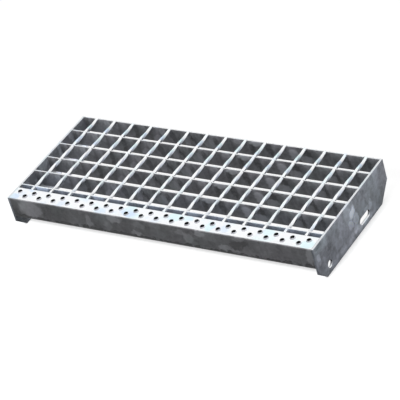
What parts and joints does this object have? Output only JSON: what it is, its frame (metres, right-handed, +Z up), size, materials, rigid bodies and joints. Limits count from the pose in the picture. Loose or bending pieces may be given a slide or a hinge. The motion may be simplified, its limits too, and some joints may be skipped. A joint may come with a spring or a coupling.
{
  "type": "metal stair tread",
  "caption": "Galvanised grating stair tread with twisted cross rods, a perforated anti-slip nosing and drilled end plates that bolt between two stringers.",
  "frame": {"origin": "middle of the length and depth, on the level that the end plates stand on", "axes": "+X along the tread's length to the right plate, +Y from the nosing to the rear bar, +Z up"},
  "size_m": [0.6, 0.24, 0.072],
  "materials": {
    "nosing_zinc": "hot-dip galvanised, satin spangle",
    "plate_zinc": "hot-dip galvanised, satin spangle",
    "bar_zinc": "hot-dip galvanised, satin",
    "rod_zinc": "hot-dip galvanised, satin"
  },
  "bodies": {
    "root": {"nosing": "nosing_zinc", "end_plate_left": "plate_zinc", "end_plate_right": "plate_zinc", "bearing_bar_1": "bar_zinc", "bearing_bar_2": "bar_zinc", "bearing_bar_3": "bar_zinc", "bearing_bar_4": "bar_zinc", "bearing_bar_5": "bar_zinc", "rear_bar": "bar_zinc", "cross_rod_01": "rod_zinc", "cross_rod_02": "rod_zinc", "cross_rod_03": "rod_zinc", "cross_rod_04": "rod_zinc", "cross_rod_05": "rod_zinc", "cross_rod_06": "rod_zinc", "cross_rod_07": "rod_zinc", "cross_rod_08": "rod_zinc", "cross_rod_09": "rod_zinc", "cross_rod_10": "rod_zinc", "cross_rod_11": "rod_zinc", "cross_rod_12": "rod_zinc", "cross_rod_13": "rod_zinc", "cross_rod_14": "rod_zinc", "cross_rod_15": "rod_zinc"}
  },
  "joints": []
}
